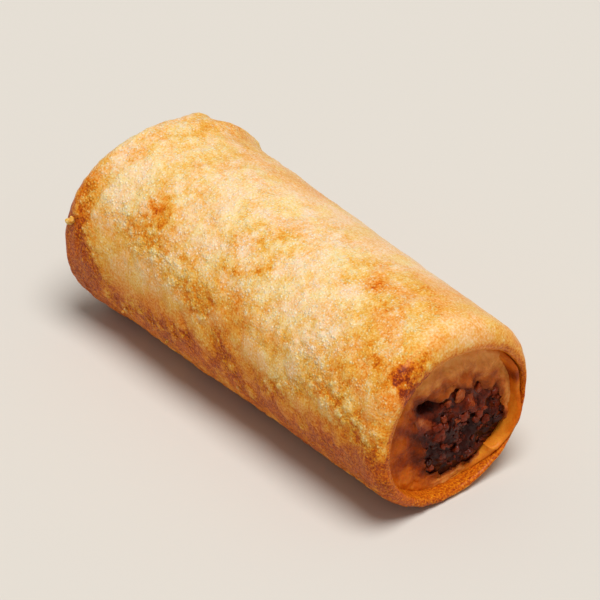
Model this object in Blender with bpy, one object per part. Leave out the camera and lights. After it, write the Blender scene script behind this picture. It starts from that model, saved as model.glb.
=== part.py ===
# Fried spring roll: one thin sheet of pastry rolled round a browned meat filling.
# The roll lies along X with its open, better shown end at +X. It rests on z = 0.
# Two solids: the wrapper, and the filling that runs through it from end to end.

import bpy
import bmesh
from math import cos, pi, radians, sin
from mathutils import Vector, noise

# ---- Driving dimensions, in millimetres unless a name says otherwise ----
MM = 0.001
ROLL_LENGTH = 85.0
FAR_RADIUS = 20.3          # the roll tapers a little towards the near end
NEAR_RADIUS = 18.9
FLAT_DEPTH = 2.4           # how far the underside is pressed flat where it lies
SHEET = 0.8                # one thickness of fried pastry
SEAM_ANGLE = 116.0         # degrees from the top towards +Y: where the last turn ends
SEAM_WANDER = 4.0          # degrees that the seam drifts along the roll
SEAM_LIP = 0.45            # width of the step at the sheet's edge
GAP = 0.3                  # clearance between the two solids

BORE_CENTRE = (3.2, -2.3)  # the filling lies off centre, towards +Y and down
BORE_RADIUS = 12.9

LUMP_HEIGHT = 0.22         # slow waviness of the skin
LUMP_SIZE = 14.0
SQUARENESS = 0.2           # how far the section bulges at its four corners

CUFF_EDGE = -32.5          # the folded end flap stops here, near the far end
CUFF_FADE = 4.5
CUFF_HEIGHT = (0.5, 1.6, 0.5, 0.3)
CUFF_WAIST = 0.35          # the skin beyond the flap dips by this share of its height

DIP_ANGLE = 42.0           # degrees: a dent in the far rim beside the flap's fold
DIP_REACH = 20.0           # degrees to each side
DIP_START = -33.5
DIP_DEPTH = 2.0

# Values round an end are given at its top, +Y side, bottom and -Y side.
NEAR_END = {
    "side": 1,
    "bulge": (1.5, 0.7, 1.2, 2.5),            # the rim leans out this far
    "shoulder": (3.4, 2.2, 2.4, 3.0),         # length of the rounded shoulder
    "crest": (0.72, 0.6, 0.5, 0.6),           # crest's place between skin and opening
    "rollIn": (0.9, 0.8, 0.8, 0.7),           # drop from the crest to the opening's edge
    "openingCentre": (0.9, -1.9),
    "openingRadii": (16.0, 14.3),             # across and up
    "foldSunk": 1.0,                          # crown of the inner fold below the rim
    "foldDome": 1.0,                          # and its drop from there to the opening
    "foldCrown": (3.0, -5.0),
    "windowCentre": (4.4, -6.2),
    "windowRadii": (9.5, 8.0),
    "windowRagged": 0.3,
}
FAR_END = {
    "side": -1,
    "bulge": (-1.3, 0.9, 0.8, 1.9),
    "shoulder": (3.6, 4.0, 2.6, 2.6),
    "crest": (0.42, 0.45, 0.45, 0.42),
    "rollIn": (1.2, 1.4, 0.9, 1.2),
    "openingCentre": (1.2, -1.6),
    "openingRadii": (14.4, 12.8),
    "foldSunk": 2.3,
    "foldDome": 0.8,
    "foldCrown": (1.0, -2.0),
    "windowCentre": (1.8, -4.4),
    "windowRadii": (9.2, 7.4),
    "windowRagged": 0.5,
}

FOLD = 0.8                 # thickness of the fold that covers the filling's ends
FILLING_ROUGH = 0.7        # lumps of the mince
FILLING_LUMP = 4.0
FILLING_RISE = 0.9         # the mince swells into the window of the fold
FACE_ROUGH = 0.5           # pits in the mince where it shows
FACE_GRAIN = 2.4
FACE_EDGE = 0.75           # the swelling starts to fall off at this share of the window
RAGGED_WAVES = (3.0, 5.0)  # waves round the window's edge
RAGGED_SHARE = 0.6         # height of the second wave beside the first
RAGGED_PHASE = 0.7

SKIN_SEED = 3.0            # places in the noise field
FILLING_SEED = 9.0
FACE_SEED = 10.0

COLUMNS = 60               # facets round the wrapper
OUTER_ROWS = 24
SHOULDER_ROWS = 4
FILLING_COLUMNS = 36
FILLING_ROWS = 12
FOLD_SHARES = (0.03, 0.35, 0.75, 1.0)     # rows of the fold, from opening to window
FACE_RINGS = (0.93, 0.82, 0.66, 0.46, 0.24)

MATERIALS = {
    "wrapper": ((0.72, 0.45, 0.17, 1.0), 0.45),
    "filling": ((0.12, 0.03, 0.012, 1.0), 0.5),
}


def clearScene():
    for item in list(bpy.data.objects):
        bpy.data.objects.remove(item, do_unlink=True)


def mix(a, b, share):
    return a + (b - a) * share


def smooth(low, high, value):
    share = min(max((value - low) / (high - low), 0.0), 1.0)
    return share * share * (3.0 - 2.0 * share)


def around(values, angle):
    # Four values, at the top, +Y side, bottom and -Y side, blended round the section.
    place = (angle / (0.5 * pi)) % 4.0
    index = int(place) % 4
    return mix(values[index], values[(index + 1) % 4], smooth(0.0, 1.0, place - int(place)))


def onOval(centre, across, up, angle):
    return Vector((centre[0] + across * sin(angle), centre[1] + up * cos(angle)))


def lump(x, angle, size, seed):
    # Slow, seamless unevenness of a round body, about -0.5 to 0.5.
    radius = NEAR_RADIUS / size
    return noise.noise(Vector((x / size + seed, radius * sin(angle), radius * cos(angle))))


def seamAngle(x):
    return radians(SEAM_ANGLE + SEAM_WANDER * sin(x / ROLL_LENGTH * 1.5 * pi))


def turnShare(column, columns):
    # 0 at the sheet's outer edge, almost 1 where the turn below slips under it.
    last = 1.0 - SEAM_LIP / (2.0 * pi * NEAR_RADIUS)
    return column / (columns - 1) * last


def columnAngle(column, columns, x):
    return seamAngle(x) - 2.0 * pi * turnShare(column, columns)


def farDip(x, angle):
    away = abs((angle - radians(DIP_ANGLE) + pi) % (2.0 * pi) - pi)
    reach = 1.0 - smooth(0.0, radians(DIP_REACH), away)
    return DIP_DEPTH * reach * (1.0 - smooth(DIP_START - CUFF_FADE, DIP_START, x))


def skinRadius(x, angle, share):
    radius = mix(FAR_RADIUS, NEAR_RADIUS, x / ROLL_LENGTH + 0.5)
    radius -= SHEET * share                               # the spiral of the last turn
    radius += SQUARENESS * 0.5 * (1.0 - cos(4.0 * angle))
    radius += LUMP_HEIGHT * 2.0 * lump(x, angle, LUMP_SIZE, SKIN_SEED)
    cuff = 1.0 - smooth(CUFF_EDGE - 0.5 * CUFF_FADE, CUFF_EDGE + 0.5 * CUFF_FADE, x)
    return radius + around(CUFF_HEIGHT, angle) * (cuff - CUFF_WAIST) - farDip(x, angle)


def skinPoint(x, angle, share):
    # The skin in the section's plane, pressed flat where the roll lies.
    radius = skinRadius(x, angle, share)
    point = onOval((0.0, 0.0), radius, radius, angle)
    point.y = max(point.y, FLAT_DEPTH - FAR_RADIUS)
    return point


def shoulderX(end, column):
    # Where the straight skin ends and the rounded shoulder begins.
    angle = columnAngle(column, COLUMNS, end["side"] * 0.5 * ROLL_LENGTH)
    return rimX(end, angle) - end["side"] * around(end["shoulder"], angle)


def outerRows():
    # Skin from the far shoulder to the near shoulder.
    columns = []
    for column in range(COLUMNS):
        share = turnShare(column, COLUMNS)
        points = []
        for index in range(OUTER_ROWS + 1):
            x = mix(shoulderX(FAR_END, column), shoulderX(NEAR_END, column), index / OUTER_ROWS)
            place = skinPoint(x, columnAngle(column, COLUMNS, x), share)
            points.append(Vector((x, place.x, place.y)))
        columns.append(points)
    return [list(row) for row in zip(*columns)]


def rimX(end, angle):
    return end["side"] * (0.5 * ROLL_LENGTH + around(end["bulge"], angle))


def windowPoint(end, angle):
    slow, quick = RAGGED_WAVES
    ragged = sin(slow * angle + RAGGED_PHASE) + RAGGED_SHARE * sin(quick * angle)
    ragged *= end["windowRagged"]
    across, up = end["windowRadii"]
    return onOval(end["windowCentre"], across + ragged, up + ragged, angle)


def foldX(end, place):
    # Outer face of the inner fold that domes over the filling.
    across, up = end["openingRadii"]
    away = place - Vector(end["foldCrown"])
    drop = end["foldDome"] * ((away.x / across) ** 2 + (away.y / up) ** 2)
    return end["side"] * (0.5 * ROLL_LENGTH - end["foldSunk"] - drop)


def endRows(end):
    # From the skin, over the rolled-in rim and down onto the fold, to the bore.
    side = end["side"]
    columns = []
    for column in range(COLUMNS):
        angle = columnAngle(column, COLUMNS, side * 0.5 * ROLL_LENGTH)
        rim = rimX(end, angle)
        crest = around(end["crest"], angle)
        shoulder = around(end["shoulder"], angle)
        rollIn = around(end["rollIn"], angle)
        skin = skinPoint(rim, angle, turnShare(column, COLUMNS))
        opening = onOval(end["openingCentre"], *end["openingRadii"], angle)
        window = windowPoint(end, angle)
        bore = onOval(BORE_CENTRE, BORE_RADIUS, BORE_RADIUS, angle)
        path = []
        for step in range(1, SHOULDER_ROWS + 1):
            turn = 0.5 * pi * step / SHOULDER_ROWS
            place = skin.lerp(opening, crest * (1.0 - cos(turn)))
            path.append((rim - side * shoulder * (1.0 - sin(turn)), place))
        for step in range(1, SHOULDER_ROWS):
            turn = 0.5 * pi * step / (SHOULDER_ROWS - 1)
            place = skin.lerp(opening, mix(crest, 1.0, sin(turn)))
            path.append((rim - side * rollIn * (1.0 - cos(turn)), place))
        for share in FOLD_SHARES:
            place = opening.lerp(window, share)
            path.append((foldX(end, place), place))
        for place in (window, bore):
            path.append((foldX(end, place) - side * FOLD, place))
        columns.append([Vector((x, place.x, place.y)) for x, place in path])
    return [list(row) for row in zip(*columns)]


def fillingRing(x, share):
    # The mince in the section's plane; a share below 1 is a smaller ring of its face.
    points = []
    for column in range(FILLING_COLUMNS):
        angle = 2.0 * pi * column / FILLING_COLUMNS
        worn = FILLING_ROUGH * (0.5 + lump(x, angle, FILLING_LUMP, FILLING_SEED))
        radius = (BORE_RADIUS - GAP - worn) * share
        points.append(onOval(BORE_CENTRE, radius, radius, angle))
    return points


def fillingFace(end, place):
    # The mince stays under the fold and swells out inside its window.
    away = (place - Vector(end["windowCentre"])).length
    edge = min(end["windowRadii"]) - end["windowRagged"] * (1.0 + RAGGED_SHARE) - GAP
    rise = FILLING_RISE * (1.0 - smooth(FACE_EDGE * edge, edge, away))
    grain = noise.noise(Vector((place.x, place.y, FACE_SEED * end["side"])) / FACE_GRAIN)
    pit = FACE_ROUGH * min(grain, 0.0)
    return foldX(end, place) + end["side"] * (rise + pit - FOLD - GAP)


def skinMesh(bm, rows, closed):
    # Quads between neighbouring rings; a closed body joins the last ring to the first.
    rings = [[bm.verts.new(point * MM) for point in row] for row in rows]
    pairs = list(zip(rings, rings[1:]))
    if closed:
        pairs.append((rings[-1], rings[0]))
    for ring, following in pairs:
        for index in range(len(ring)):
            other = (index + 1) % len(ring)
            bm.faces.new((ring[index], ring[other], following[other], following[index]))
    return rings


def capRing(bm, ring, centre):
    middle = bm.verts.new(centre * MM)
    for index in range(len(ring)):
        bm.faces.new((ring[index], ring[(index + 1) % len(ring)], middle))


def finishObject(name, bm, collection):
    bmesh.ops.recalc_face_normals(bm, faces=bm.faces)
    mesh = bpy.data.meshes.new(name)
    bm.to_mesh(mesh)
    bm.free()
    mesh.shade_smooth()
    mesh.set_sharp_from_angle(angle=radians(50.0))
    item = bpy.data.objects.new(name, mesh)
    collection.objects.link(item)
    colour, roughness = MATERIALS[name]
    material = bpy.data.materials.new(name)
    material.use_nodes = True
    shader = material.node_tree.nodes["Principled BSDF"]
    shader.inputs["Base Color"].default_value = colour
    shader.inputs["Roughness"].default_value = roughness
    shader.inputs["Metallic"].default_value = 0.0
    mesh.materials.append(material)
    return item


def makeWrapper(collection):
    bm = bmesh.new()
    rows = outerRows() + endRows(NEAR_END) + endRows(FAR_END)[::-1]
    skinMesh(bm, rows, closed=True)
    return finishObject("wrapper", bm, collection)


def fillingSide():
    rows = []
    for index in range(1, FILLING_ROWS):
        x = mix(-0.5, 0.5, index / FILLING_ROWS) * ROLL_LENGTH
        rows.append([Vector((x, place.x, place.y)) for place in fillingRing(x, 1.0)])
    return rows


def fillingEnd(end):
    rings = []
    for share in (1.0,) + FACE_RINGS:
        places = fillingRing(end["side"] * 0.5 * ROLL_LENGTH, share)
        rings.append([Vector((fillingFace(end, place), place.x, place.y)) for place in places])
    return rings


def makeFilling(collection):
    bm = bmesh.new()
    rows = fillingEnd(FAR_END)[::-1] + fillingSide() + fillingEnd(NEAR_END)
    rings = skinMesh(bm, rows, closed=False)
    middle = Vector(BORE_CENTRE)
    for ring, end in ((rings[0], FAR_END), (rings[-1], NEAR_END)):
        capRing(bm, ring, Vector((fillingFace(end, middle), middle.x, middle.y)))
    return finishObject("filling", bm, collection)


def standOnOrigin(items):
    # The lowest middle point of the whole roll becomes the origin.
    points = [vertex.co for item in items for vertex in item.data.vertices]
    low = [min(point[axis] for point in points) for axis in range(3)]
    high = [max(point[axis] for point in points) for axis in range(3)]
    shift = Vector((-0.5 * (low[0] + high[0]), -0.5 * (low[1] + high[1]), -low[2]))
    for item in items:
        for vertex in item.data.vertices:
            vertex.co += shift


def main():
    clearScene()
    collection = bpy.data.collections.new("spring_roll")
    bpy.context.scene.collection.children.link(collection)
    standOnOrigin([makeWrapper(collection), makeFilling(collection)])


main()
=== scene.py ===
from math import cos, pi, radians, sin

import bmesh
import bpy
import numpy as np
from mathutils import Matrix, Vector, noise


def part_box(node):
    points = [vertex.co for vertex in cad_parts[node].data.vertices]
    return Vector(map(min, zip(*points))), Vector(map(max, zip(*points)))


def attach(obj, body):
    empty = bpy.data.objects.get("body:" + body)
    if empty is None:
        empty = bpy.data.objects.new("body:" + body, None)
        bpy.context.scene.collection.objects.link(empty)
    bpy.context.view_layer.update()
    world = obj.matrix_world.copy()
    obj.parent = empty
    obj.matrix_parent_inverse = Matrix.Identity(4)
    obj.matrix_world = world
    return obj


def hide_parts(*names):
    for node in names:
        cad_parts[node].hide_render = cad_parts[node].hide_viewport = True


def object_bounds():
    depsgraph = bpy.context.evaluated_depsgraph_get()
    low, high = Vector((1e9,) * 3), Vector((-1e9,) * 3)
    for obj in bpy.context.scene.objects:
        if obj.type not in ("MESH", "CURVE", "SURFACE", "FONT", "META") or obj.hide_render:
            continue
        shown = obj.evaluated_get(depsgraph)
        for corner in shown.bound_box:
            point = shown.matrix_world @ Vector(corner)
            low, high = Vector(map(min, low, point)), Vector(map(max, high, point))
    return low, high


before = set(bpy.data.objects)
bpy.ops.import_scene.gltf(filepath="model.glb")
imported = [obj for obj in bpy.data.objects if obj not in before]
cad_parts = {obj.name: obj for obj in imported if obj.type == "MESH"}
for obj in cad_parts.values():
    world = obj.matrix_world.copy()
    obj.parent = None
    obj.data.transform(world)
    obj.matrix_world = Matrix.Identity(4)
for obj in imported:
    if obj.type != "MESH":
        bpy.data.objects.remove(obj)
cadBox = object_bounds()

mm = 0.001

# Shape sizes are in millimetres about the roll's own axis: x along it, then across and up.
roll = {
    "length": 85.0,
    "farRadius": 20.3,
    "nearRadius": 18.9,
    "flatDepth": 2.4,           # the underside is pressed flat by this much
    "sheet": 0.8,               # one thickness of pastry
    "seamAngle": 116.0,         # degrees from the top towards +Y
    "seamWander": 4.0,
    "squareness": 0.2,
    "boreCentre": (3.2, -2.3),
    "boreRadius": 12.9,
    "cuffEdge": -32.5,          # the folded end flap stops here
    "cuffFade": 4.5,
    "cuffHeight": (0.5, 1.6, 0.5, 0.3),
    "cuffWaist": 0.35,
    "dipAngle": 42.0,           # dent in the far rim beside the flap
    "dipReach": 20.0,
    "dipStart": -33.5,
    "dipDepth": 2.0,
}

nearEnd = {                     # four values round an end: top, +Y side, bottom, -Y side
    "side": 1,
    "bulge": (1.5, 0.7, 1.2, 2.5),
    "shoulder": (3.4, 2.2, 2.4, 3.0),
    "crest": (0.72, 0.6, 0.5, 0.6),
    "rollIn": (0.9, 0.8, 0.8, 0.7),
    "openingCentre": (0.9, -1.9),
    "openingRadii": (16.0, 14.3),
    "foldSunk": 1.0,
    "foldDome": 1.0,
    "foldCrown": (3.0, -5.0),
    "windowCentre": (4.4, -6.2),
    "windowRadii": (9.5, 8.0),
    "windowLobes": [(-46.0, 4.8, 20.0), (-14.0, 1.0, 14.0), (28.0, -0.8, 16.0), (60.0, 0.8, 18.0),
                    (-95.0, -0.8, 18.0), (-140.0, 0.8, 20.0)],
    "plyTurns": (36.0, 96.0, 176.0),
    "seed": 3.0,
}
farEnd = {
    "side": -1,
    "bulge": (-1.3, 0.9, 0.8, 1.9),
    "shoulder": (3.6, 4.0, 2.6, 2.6),
    "crest": (0.5, 0.5, 0.45, 0.45),
    "rollIn": (1.2, 1.4, 0.9, 1.2),
    "openingCentre": (1.2, -1.6),
    "openingRadii": (14.4, 12.8),
    "foldSunk": 2.3,
    "foldDome": 0.8,
    "foldCrown": (1.0, -2.0),
    "windowCentre": (1.8, -4.4),
    "windowRadii": (9.2, 7.4),
    "windowLobes": [(30.0, 0.9, 16.0), (-60.0, -1.4, 22.0), (-110.0, 0.9, 18.0), (150.0, -0.8, 20.0)],
    "plyTurns": (-170.0, -95.0, -20.0),
    "seed": 9.0,
}


def rollMiddle():
    # The middle of the roll's axis in the frame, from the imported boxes.
    skinLow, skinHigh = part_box("wrapper")
    meatLow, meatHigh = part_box("filling")
    x = skinHigh[0] - (0.5 * roll["length"] + max(nearEnd["bulge"])) * mm
    y = 0.5 * (meatLow[1] + meatHigh[1]) - roll["boreCentre"][0] * mm
    z = skinLow[2] + (roll["farRadius"] - roll["flatDepth"]) * mm
    return np.array([x, y, z])


middle = rollMiddle()


def mix(a, b, share):
    return a + (b - a) * share


def smooth(low, high, value):
    # 0 at low, 1 at high, eased between them; low may be the larger one.
    share = np.clip((value - low) / (high - low), 0.0, 1.0)
    return share * share * (3.0 - 2.0 * share)


def around(values, angle):
    # Eased from one to the next of four values: top, +Y side, bottom, -Y side.
    quarter = (angle / (0.5 * pi)) % 4.0
    index = np.floor(quarter).astype(int) % 4
    table = np.array(values)
    return mix(table[index], table[(index + 1) % 4], smooth(0.0, 1.0, quarter - np.floor(quarter)))


def oval(centre, across, up, angle):
    return np.stack([centre[0] + across * np.sin(angle), centre[1] + up * np.cos(angle)], -1)


def turnGap(degrees, other):
    # How many degrees round the roll lie between two places, -180 to 180.
    return (degrees - other + 180.0) % 360.0 - 180.0


def grain(points, size, seed):
    # Soft noise, about -0.5 to 0.5, for every point of an array.
    flat = (points.reshape(-1, 3) / size + seed).tolist()
    return np.array([noise.noise(p) for p in flat]).reshape(points.shape[:-1])


def bubbles(points, size, seed, fullness):
    # Round bumps, 0 to 1, each of its own width and height, flat between them.
    flat = (points.reshape(-1, 3) / size + seed).tolist()
    found = [noise.voronoi(p) for p in flat]
    near = np.array([distances[0] for distances, places in found])
    cell = np.array([tuple(places[0]) for distances, places in found])
    luck = (np.sin(cell @ np.array([12.99, 78.23, 37.72])) * 437.58) % 1.0
    dome = np.clip(1.0 - (near / (fullness * (0.45 + 0.55 * luck))) ** 2, 0.0, 1.0) ** 1.5
    return (dome * (0.45 + 0.55 * luck)).reshape(points.shape[:-1])


def gridNormals(grid):
    # Outward normals of a ring-by-ring grid whose columns close on themselves.
    along = np.gradient(grid, axis=0)
    across = np.roll(grid, -1, axis=1) - np.roll(grid, 1, axis=1)
    normal = np.cross(across, along)
    return normal / np.maximum(np.linalg.norm(normal, axis=-1, keepdims=True), 1e-9)


def meshFromParts(name, points, faces, values):
    # points are in millimetres about the axis; values holds one number a point for the material.
    mesh = bpy.data.meshes.new(name)
    mesh.from_pydata((points * mm + middle).tolist(), [], faces.tolist())
    for label, field in values.items():
        layer = mesh.attributes.new(label, "FLOAT", "POINT")
        layer.data.foreach_set("value", field.reshape(-1).astype(np.float32))
    piece = bpy.data.objects.new(name, mesh)
    bpy.context.scene.collection.objects.link(piece)
    return piece


def meshFromGrid(name, grid, closed, values):
    # Quads between neighbouring rings; closed also joins the last ring to the first.
    rows, columns = grid.shape[:2]
    index = np.arange(rows * columns).reshape(rows, columns)
    lower = index if closed else index[:-1]
    upper = np.roll(index, -1, axis=0) if closed else index[1:]
    quads = np.stack([lower, np.roll(lower, -1, 1), np.roll(upper, -1, 1), upper], -1)
    return meshFromParts(name, grid.reshape(-1, 3), quads.reshape(-1, 4), values)


def meshFromCopies(name, copies, faces, values):
    # copies holds the points of each copy of one shape, faces that shape's triangles.
    step = np.arange(len(copies))[:, None, None] * len(copies[0])
    return meshFromParts(name, np.concatenate(copies), (faces[None] + step).reshape(-1, 3), values)


def turnOutwards(piece, closeEnds):
    # Faces turned outwards, and open ends filled where asked for.
    bm = bmesh.new()
    bm.from_mesh(piece.data)
    if closeEnds:
        bmesh.ops.holes_fill(bm, edges=[edge for edge in bm.edges if edge.is_boundary], sides=0)
    bmesh.ops.recalc_face_normals(bm, faces=bm.faces)
    bm.to_mesh(piece.data)
    bm.free()


def place(piece, node, finish, closeEnds=False):
    # The finish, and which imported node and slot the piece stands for.
    turnOutwards(piece, closeEnds)
    piece.data.shade_smooth()
    piece.data.materials.append(finish)
    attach(piece, "root")
    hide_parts(node)
    return piece


def seamAt(x):
    return radians(roll["seamAngle"]) + radians(roll["seamWander"]) * np.sin(x / roll["length"] * 1.5 * pi)


def rimX(end, angle):
    # How far the rim reaches along the roll.
    return end["side"] * (0.5 * roll["length"] + around(end["bulge"], angle))


def farDip(x, angle):
    # Depth of the dent in the far rim.
    away = np.abs(turnGap(np.degrees(angle), roll["dipAngle"]))
    reach = 1.0 - smooth(0.0, roll["dipReach"], away)
    return roll["dipDepth"] * reach * (1.0 - smooth(roll["dipStart"] - roll["cuffFade"], roll["dipStart"], x))


def skinRadius(x, angle, share):
    # share runs 0 to 1 once round from the seam, so that the sheet's free edge is a step.
    radius = mix(roll["farRadius"], roll["nearRadius"], x / roll["length"] + 0.5)
    radius = radius - roll["sheet"] * share + roll["squareness"] * 0.5 * (1.0 - np.cos(4.0 * angle))
    half = 0.5 * roll["cuffFade"]
    cuff = 1.0 - smooth(roll["cuffEdge"] - half, roll["cuffEdge"] + half, x)
    return radius + around(roll["cuffHeight"], angle) * (cuff - roll["cuffWaist"]) - farDip(x, angle)


def skinPlace(x, angle, share):
    radius = skinRadius(x, angle, share)
    spot = oval((0.0, 0.0), radius, radius, angle)
    spot[..., 1] = np.maximum(spot[..., 1], roll["flatDepth"] - roll["farRadius"])
    return spot


def foldX(end, spot):
    # Where the inner fold's domed face lies along the roll.
    across, up = end["openingRadii"]
    away = spot - np.array(end["foldCrown"])
    drop = end["foldDome"] * ((away[..., 0] / across) ** 2 + (away[..., 1] / up) ** 2)
    return end["side"] * (0.5 * roll["length"] - end["foldSunk"] - drop)


class Wire:
    # One socket of a material. Sums of wires and numbers become Math nodes.

    def __init__(self, tree, socket=None):
        self.tree = tree
        self.socket = socket

    def plug(self, slot, value):
        if isinstance(value, Wire):
            self.tree.links.new(value.socket, slot)
        elif value is not None:
            slot.default_value = value

    def node(self, kind, settings=None, inputs=None, out=0):
        made = self.tree.nodes.new(kind)
        for name, value in (settings or {}).items():
            if name == "stops":
                self.setStops(made.color_ramp, value)
            else:
                setattr(made, name, value)
        for name, value in (inputs or {}).items():
            self.plug(made.inputs[name], value)
        return Wire(self.tree, made.outputs[out])

    def setStops(self, ramp, stops):
        while len(ramp.elements) > 1:
            ramp.elements.remove(ramp.elements[-1])
        for number, (position, colour) in enumerate(stops):
            element = ramp.elements[0] if number == 0 else ramp.elements.new(position)
            element.position = position
            element.color = colour

    def math(self, operation, first, second=None):
        return self.node("ShaderNodeMath", {"operation": operation}, {0: first, 1: second})

    def __add__(self, other):
        return self.math("ADD", self, other)

    def __radd__(self, other):
        return self.math("ADD", other, self)

    def __sub__(self, other):
        return self.math("SUBTRACT", self, other)

    def __rsub__(self, other):
        return self.math("SUBTRACT", other, self)

    def __mul__(self, other):
        return self.math("MULTIPLY", self, other)

    def __rmul__(self, other):
        return self.math("MULTIPLY", other, self)

    def between(self, low, high):
        # 0 below low, 1 above high, eased between them.
        return self.node("ShaderNodeMapRange", {"interpolation_type": "SMOOTHSTEP"},
                         {"Value": self, "From Min": low, "From Max": high})

    def ramp(self, stops):
        screen = [(position, tint(*colour)) for position, colour in stops]
        return self.node("ShaderNodeValToRGB", {"stops": screen}, {"Fac": self})

    def blend(self, first, second):
        # This wire is the share of the second colour; sockets 6 and 7 are the Mix node's colours.
        settings = {"data_type": "RGBA", "clamp_factor": True}
        return self.node("ShaderNodeMix", settings, {0: self, 6: first, 7: second}, 2)

    def stretch(self, scale):
        return self.node("ShaderNodeVectorMath", {"operation": "MULTIPLY"}, {0: self, 1: scale})

    def clouds(self, size, detail=3.0, rough=0.5, twist=0.0):
        return self.node("ShaderNodeTexNoise", {},
                         {"Vector": self, "Scale": 1.0 / size, "Detail": detail,
                          "Roughness": rough, "Distortion": twist})

    def cells(self, size, out="Distance"):
        return self.node("ShaderNodeTexVoronoi", {}, {"Vector": self, "Scale": 1.0 / size}, out)


def tint(red, green, blue):
    # A colour given as on a screen, 0 to 255.
    parts = [value / 255.0 for value in (red, green, blue)]
    return tuple(p / 12.92 if p <= 0.04045 else ((p + 0.055) / 1.055) ** 2.4 for p in parts) + (1.0,)


def newFinish(name, constants):
    # A material, its Principled shader, its wires and the wire that gives places in millimetres.
    material = bpy.data.materials.new(name)
    material.use_nodes = True
    tree = material.node_tree
    shader = tree.nodes["Principled BSDF"]
    for label, value in constants.items():
        shader.inputs[label].default_value = value
    wires = Wire(tree)
    here = wires.node("ShaderNodeTexCoord", out="Object").stretch((1000.0, 1000.0, 1000.0))
    return material, shader, wires, here


def attribute(wires, name):
    # One of the numbers that a mesh holds for each point.
    return wires.node("ShaderNodeAttribute", {"attribute_name": name}, out="Fac")


def addRelief(wires, shader, height):
    # Fine relief, its height in millimetres.
    bump = wires.node("ShaderNodeBump", {}, {"Strength": 1.0, "Distance": mm, "Height": height}, "Normal")
    wires.plug(shader.inputs["Normal"], bump)


pastryLook = {
    "warm": [(0.0, (252, 228, 200)), (0.2, (245, 206, 158)), (0.4, (238, 172, 88)),
             (0.6, (228, 130, 24)), (0.8, (194, 84, 10)), (1.0, (132, 44, 8))],
    "yellow": [(0.0, (249, 228, 186)), (0.2, (242, 208, 142)), (0.4, (234, 175, 74)),
               (0.6, (222, 132, 20)), (0.8, (188, 86, 10)), (1.0, (126, 44, 8))],
    "roughness": 0.44,
    "oil": 0.24,
    "bubbleSize": 0.6,
    "bubbleDeep": 0.11,         # millimetres of fine bump
    "grainDeep": 0.15,
}


def makePastryFinish():
    # Fried skin: cream to gold to brown, drier and rougher where it blistered.
    look = pastryLook
    material, shader, wires, here = newFinish("friedPastry", {
        "IOR": 1.45, "Specular IOR Level": 0.12, "Coat Roughness": 0.2, "Coat IOR": 1.4,
        "Subsurface Weight": 0.22, "Subsurface Radius": (1.0, 0.5, 0.18), "Subsurface Scale": 0.0014})
    brown = attribute(wires, "brown")
    blister = attribute(wires, "blister")
    oily = attribute(wires, "oily")

    size = look["bubbleSize"]
    luck = wires.node("ShaderNodeSeparateColor", {}, {"Color": here.cells(size, out="Color")}, "Red")
    bubble = here.cells(size).between(0.2 + luck * 0.45, 0.0)
    patch = here.clouds(2.6, 3.0, 0.55)
    speck = here.clouds(0.42, 2.0, 0.6)
    yellowness = here.clouds(5.0, 3.0, 0.6).between(0.38, 0.62) + (0.5 - oily) * 0.9

    fleck = (speck - 0.5) * (0.55 + brown * 0.5)
    # Paler on each fine bubble's top: partly thin pastry, partly painted highlight.
    toastAndShading = brown + (patch - 0.5) * 0.09 + fleck + (0.3 - bubble) * blister * 0.26
    warm, yellow = toastAndShading.ramp(look["warm"]), toastAndShading.ramp(look["yellow"])
    wires.plug(shader.inputs["Base Color"], yellowness.blend(warm, yellow))

    wires.plug(shader.inputs["Roughness"], look["roughness"] - oily * 0.12 + (speck - 0.5) * 0.2)
    wires.plug(shader.inputs["Coat Weight"], 0.02 + oily * look["oil"])

    relief = bubble * look["bubbleDeep"] * (0.3 + luck) + speck * look["grainDeep"]
    addRelief(wires, shader, relief * (0.15 + blister))
    return material


pastryFinish = makePastryFinish()

foldLook = {
    "film": [(0.0, (250, 186, 108)), (0.35, (232, 150, 70)), (0.65, (184, 92, 30)), (1.0, (98, 34, 8))],
    "amber": [(0.0, (240, 150, 44)), (0.35, (206, 102, 14)), (0.65, (150, 58, 6)), (1.0, (80, 26, 4))],
    "roughness": 0.42,
    "oil": 0.1,
    "grainDeep": 0.12,          # millimetres of fine bump
    "fibreDeep": 0.07,
}


def makeFoldFinish():
    # The oiled inner sheet over the filling: even, tan, darker where the meat shows through it, and darker
    # and oranger as painted shade low on the -Y side and under the rim.
    material, shader, wires, here = newFinish("oiledFold", {
        "IOR": 1.45, "Specular IOR Level": 0.1, "Coat Roughness": 0.16, "Coat IOR": 1.35,
        "Subsurface Weight": 0.25, "Subsurface Radius": (1.0, 0.42, 0.16), "Subsurface Scale": 0.0012})
    brown = attribute(wires, "brown")
    amber = attribute(wires, "amber")
    patch = here.clouds(2.2, 4.0, 0.6, 0.3)
    speck = here.clouds(0.5, 3.0, 0.65)
    fibre = here.stretch((1.0, 1.0, 0.25)).clouds(0.6, 3.0, 0.6)
    toastAndShading = brown + (patch - 0.5) * 0.3 + (speck - 0.5) * 0.3 + (fibre - 0.5) * 0.2
    film, golden = toastAndShading.ramp(foldLook["film"]), toastAndShading.ramp(foldLook["amber"])
    # On the folds the amber share is painted shade; the inner turns are amber all over.
    wires.plug(shader.inputs["Base Color"], amber.blend(film, golden))
    wires.plug(shader.inputs["Roughness"], foldLook["roughness"] + (speck - 0.5) * 0.3)
    wires.plug(shader.inputs["Coat Weight"], foldLook["oil"] + (patch - 0.5) * 0.3)
    addRelief(wires, shader, speck * foldLook["grainDeep"] + fibre * foldLook["fibreDeep"])
    return material


foldFinish = makeFoldFinish()

meatLook = {
    "stops": [(0.0, (50, 11, 4)), (0.35, (120, 40, 14)), (0.6, (164, 76, 30)), (0.85, (208, 124, 62)),
              (1.0, (230, 166, 100))],
    "roughness": 0.42,
    "oil": 0.6,                 # on the wet patches
    "crumbDeep": 0.1,           # millimetres of fine bump
    "grainDeep": 0.1,
}


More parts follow.
